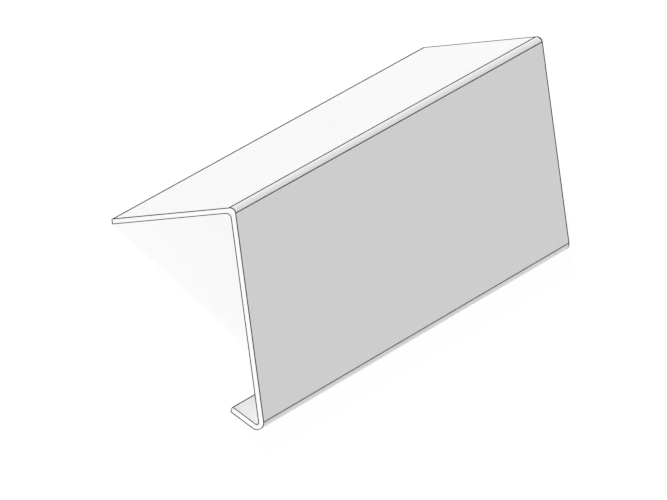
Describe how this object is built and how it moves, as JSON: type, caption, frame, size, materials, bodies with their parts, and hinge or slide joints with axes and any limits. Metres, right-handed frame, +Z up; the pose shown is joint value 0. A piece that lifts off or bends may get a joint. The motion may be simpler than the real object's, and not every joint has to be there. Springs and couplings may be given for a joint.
{
  "type": "verge flashing",
  "caption": "Bent sheet flashing for a roof verge: square top flange, flat fascia web and an acute return lip along its lower edge, one cut length.",
  "frame": {"origin": "centre of the footprint, on the floor that the piece lies on", "axes": "+Y along the piece, away from the end that the picture shows; +Z up from the floor; X across the piece, from the flange's free edge on the -X side to the fold on the +X side"},
  "size_m": [0.1366, 0.6, 0.0622],
  "materials": {
    "coated_sheet": "satin"
  },
  "bodies": {
    "root": {"flashing_sheet": "coated_sheet"}
  },
  "joints": []
}
